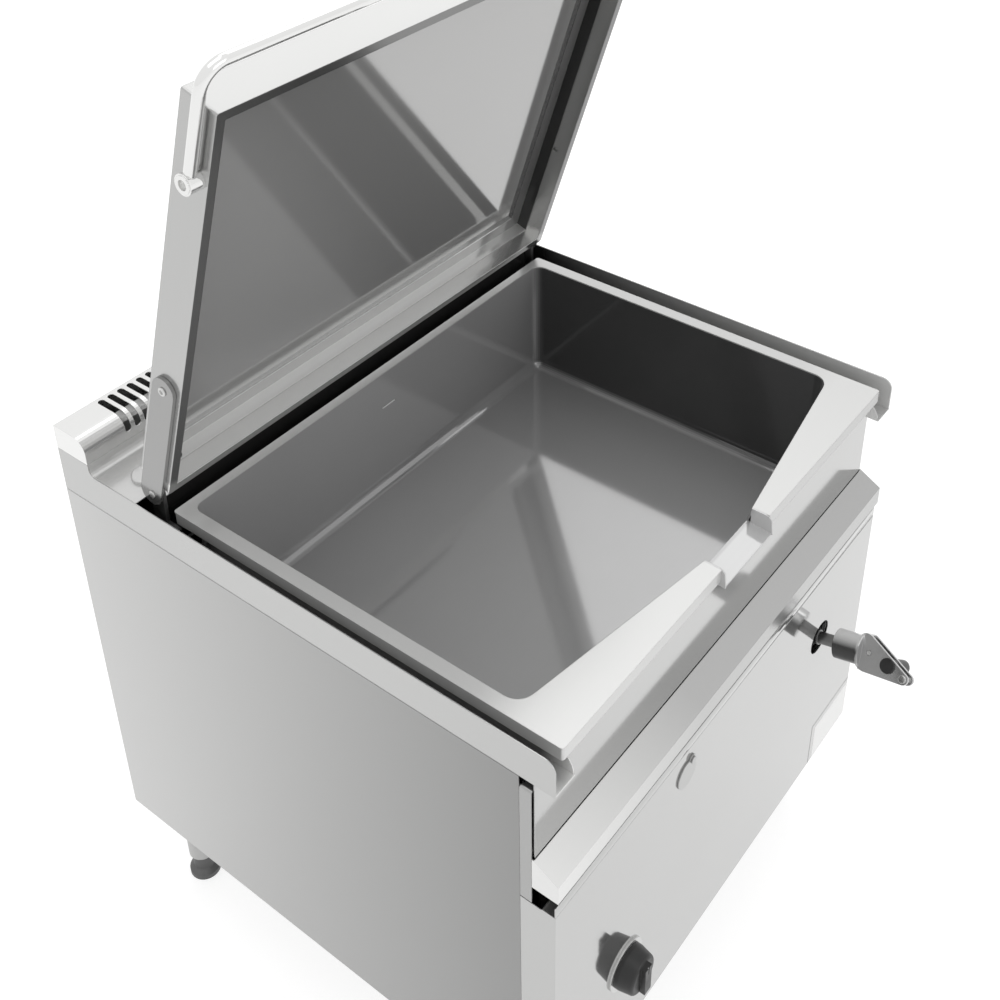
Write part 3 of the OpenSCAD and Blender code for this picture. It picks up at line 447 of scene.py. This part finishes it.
def crank_point(x, y, z):
    """A point of the crank's fork: Z along the spindle, X across the cheeks."""
    turn = Matrix.Rotation(math.radians(90) - CRANK_RISE, 4, "X") @ Matrix.Rotation(CRANK_TURN, 4, "Z")
    return at(*(Vector(SPINDLE_PIVOT) + turn @ Vector((x, y, z))))


def lid_point(x, y, z):
    """A point of the closed lid, turned back with it to the open stop."""
    dy, dz = y - LID_PIVOT[0], z - LID_PIVOT[1]
    return at(x, LID_PIVOT[0] + dy * math.cos(LID_OPEN) + dz * math.sin(LID_OPEN),
              LID_PIVOT[1] - dy * math.sin(LID_OPEN) + dz * math.cos(LID_OPEN))


def lathe(profile, steps=32):
    """A turned piece about Z from (radius, height) points, closed at both ends."""
    mesh = bmesh.new()
    angles = [2 * math.pi * i / steps for i in range(steps)]
    rings = [[mesh.verts.new((radius * MM * math.cos(a), radius * MM * math.sin(a), height * MM))
              for a in angles] for radius, height in profile]
    for low, high in zip(rings, rings[1:]):
        for i in range(steps):
            after = (i + 1) % steps
            mesh.faces.new((low[i], low[after], high[after], high[i]))
    mesh.faces.new(list(reversed(rings[0])))
    mesh.faces.new(rings[-1])
    return mesh


def socket_screw(radius, height):
    """Low round head with a recessed socket."""
    inner = radius * 0.5
    return lathe([(radius, 0), (radius, height * 0.6), (radius * 0.86, height), (inner, height),
                  (inner * 0.95, height * 0.35)])


def bevelled_box(low, high, bevel):
    """A box between two corners, with its edges rounded."""
    mesh = bmesh.new()
    bmesh.ops.create_cube(mesh, size=1)
    for vert in mesh.verts:
        vert.co = [(a + b) / 2 * MM + c * (b - a) * MM for a, b, c in zip(low, high, vert.co)]
    bmesh.ops.bevel(mesh, geom=mesh.edges[:], offset=bevel * MM, segments=2, affect="EDGES", profile=0.5)
    return mesh


def piece(name, mesh, place, towards, material, body):
    """Makes an object of a mesh, riding on a body, with its Z axis turned towards a direction if any."""
    data = bpy.data.meshes.new(name)
    mesh.to_mesh(data)
    mesh.free()
    data.materials.append(material)
    turn = Vector(towards).to_track_quat("Z", "Y").to_matrix().to_4x4() if towards else Matrix()
    data.transform(Matrix.Translation(place) @ turn)
    for polygon in data.polygons:
        polygon.use_smooth = True
    data.set_sharp_from_angle(angle=SHARP_FROM)
    item = bpy.data.objects.new(name, data)
    bpy.context.scene.collection.objects.link(item)
    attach(item, body)
    return item


def make_fasteners():
    outward = crank_point(-1, 0, 0) - crank_point(0, 0, 0)
    piece("crank_screw", socket_screw(3.7, 1.9), crank_point(*HUB_SCREW_AT), outward, BRIGHT,
          "screw")
    inward = lid_point(0, -1, 0) - lid_point(0, 0, 0)
    piece("drain_plug", lathe(DRAIN_PLUG), lid_point(*DRAIN_PLUG_AT), inward, BLACK, "lid")
    piece("panel_lip", bevelled_box(*PANEL_LIP), at(0, 0, 0), None, PANEL, "cabinet")
    # Painted shadow: black strips in the corner plate's seam
    for name, seam in (("corner_seam_top", SEAM_TOP), ("corner_seam_side", SEAM_SIDE)):
        piece(name, bevelled_box(*seam), at(0, 0, 0), None, BLACK, "cabinet")
    across, along, height = ARM_SCREW_AT
    for side, name in ((-1, "left"), (1, "right")):
        screw = piece("arm_screw_" + name, socket_screw(6.0, 2.0), lid_point(side * across, along, height),
                      (side, 0, 0), BRIGHT, "lid")
        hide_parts("arm_bolts")
    piece("level_mark", bevelled_box(*LEVEL_MARK), at(*LEVEL_MARK_AT), UP, WHITE, "pan")
    piece("knob_pointer", bevelled_box(*KNOB_POINTER), at(*KNOB_FACE_AT), UP, WHITE, "knob")


# Stage and light

FLOOR_HALF = 30
FLOOR_SHADE = 0.80
FLOOR_GLOW = 1.5
WORLD_LIGHT = 0.85
LAMP_TARGET = (0, 0, 0.8)
# Name, place in metres, size in metres and power in watts of each lamp
LAMPS = (
    ("key", (2.4, 1.2, 3.4), (3.2, 3.2), 27),
    ("front", (0.2, -3.4, 2.4), (2.4, 1.6), 11),
    ("top", (-0.6, 0.2, 4.2), (2.4, 2.4), 14),
)


def ray_mask(tree):
    """1 for rays from the camera, in reflections and through glass, otherwise 0."""
    path = tree.nodes.new("ShaderNodeLightPath")
    total = path.outputs["Is Camera Ray"]
    for name in ("Is Glossy Ray", "Is Transmission Ray"):
        node = tree.nodes.new("ShaderNodeMath")
        node.operation = "MAXIMUM"
        tree.links.new(total, node.inputs[0])
        tree.links.new(path.outputs[name], node.inputs[1])
        total = node.outputs[0]
    return total


def stage_material(name, shade, glow):
    """A pale floor that keeps a soft shadow, lifted to white for the camera and in reflections."""
    material, tree, shader = new_material(name)
    shader.inputs["Base Color"].default_value = (*grey(shade), 1)
    shader.inputs["Roughness"].default_value = 0.9
    shader.inputs["Specular IOR Level"].default_value = 0.0
    emission = tree.nodes.new("ShaderNodeEmission")
    emission.inputs["Strength"].default_value = glow
    half = tree.nodes.new("ShaderNodeMixShader")
    half.inputs["Fac"].default_value = 0.5
    tree.links.new(shader.outputs[0], half.inputs[1])
    tree.links.new(emission.outputs[0], half.inputs[2])
    seen = tree.nodes.new("ShaderNodeMixShader")
    tree.links.new(ray_mask(tree), seen.inputs["Fac"])
    tree.links.new(shader.outputs[0], seen.inputs[1])
    tree.links.new(half.outputs[0], seen.inputs[2])
    tree.links.new(seen.outputs[0], tree.nodes["Material Output"].inputs["Surface"])
    return material


def make_stage():
    data = bpy.data.meshes.new("floor")
    corners = [(x * FLOOR_HALF, y * FLOOR_HALF, 0) for x, y in ((-1, -1), (1, -1), (1, 1), (-1, 1))]
    data.from_pydata(corners, [], [(0, 1, 2, 3)])
    data.materials.append(stage_material("floor_white", FLOOR_SHADE, FLOOR_GLOW))
    floor = bpy.data.objects.new("floor", data)
    bpy.context.scene.collection.objects.link(floor)


def make_world(light):
    """Soft light on the object, and plain white behind it for the camera and in reflections."""
    world = bpy.data.worlds.new("studio")
    bpy.context.scene.world = world
    world.use_nodes = True
    tree = world.node_tree
    tree.nodes.clear()
    seen = tree.nodes.new("ShaderNodeBackground")
    seen.inputs["Color"].default_value = (1, 1, 1, 1)
    lit = tree.nodes.new("ShaderNodeBackground")
    lit.inputs["Color"].default_value = (1, 1, 1, 1)
    lit.inputs["Strength"].default_value = light
    mix = tree.nodes.new("ShaderNodeMixShader")
    out = tree.nodes.new("ShaderNodeOutputWorld")
    tree.links.new(ray_mask(tree), mix.inputs["Fac"])
    tree.links.new(lit.outputs[0], mix.inputs[1])
    tree.links.new(seen.outputs[0], mix.inputs[2])
    tree.links.new(mix.outputs[0], out.inputs["Surface"])


def area_light(name, place, size, power):
    data = bpy.data.lights.new(name, "AREA")
    data.shape = "RECTANGLE"
    data.size, data.size_y = size
    data.energy = power
    light = bpy.data.objects.new(name, data)
    light.location = place
    light.rotation_euler = (Vector(LAMP_TARGET) - Vector(place)).to_track_quat("-Z", "Y").to_euler()
    bpy.context.scene.collection.objects.link(light)


make_camera()
dress_nodes()
make_fasteners()
make_stage()
make_world(WORLD_LIGHT)
for lamp in LAMPS:
    area_light(*lamp)
bpy.context.scene.view_settings.view_transform = "Standard"
